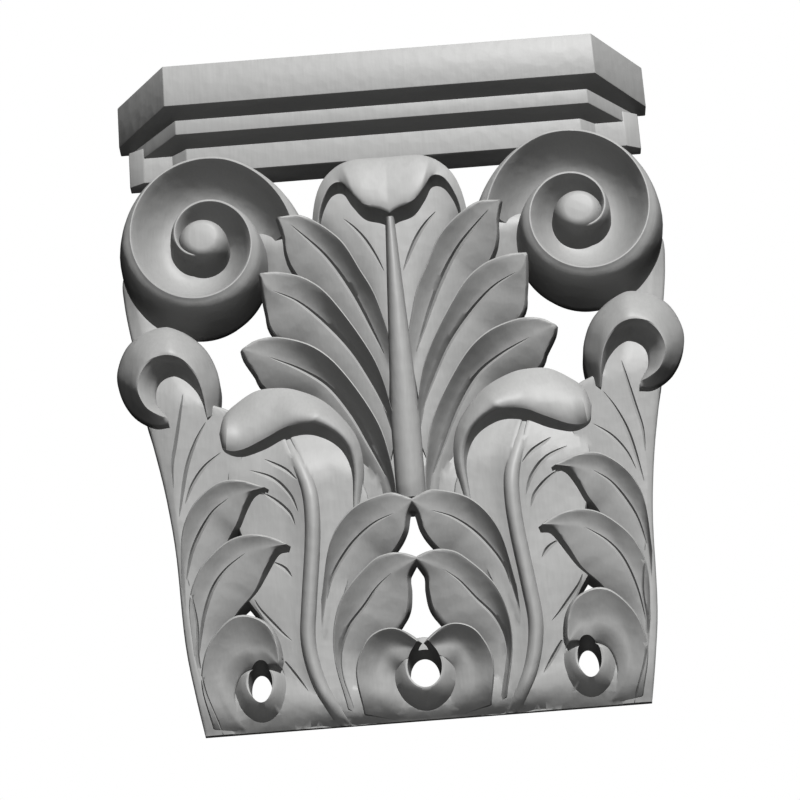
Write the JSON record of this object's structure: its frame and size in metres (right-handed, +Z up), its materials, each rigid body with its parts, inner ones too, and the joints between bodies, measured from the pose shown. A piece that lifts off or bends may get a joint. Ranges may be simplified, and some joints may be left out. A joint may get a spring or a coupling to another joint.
{
  "type": "carved corbel",
  "caption": "Carved wall corbel with a stepped moulded top, scrolled volutes and pierced acanthus leaves, fixed flat to a wall to carry a shelf, beam or cornice.",
  "frame": {"origin": "on the flat back, in the middle of the moulded top block's height and width", "axes": "+Z up; +Y into the wall, along the back's outward normal; -Y is the carved front; X along the wall"},
  "size_m": [0.2782, 0.047, 0.339],
  "materials": {
    "carved_corbel": "carved hardwood under an even grey primer, satin, with faint tool marks"
  },
  "bodies": {
    "root": {"carved_corbel": "carved_corbel"}
  },
  "joints": []
}
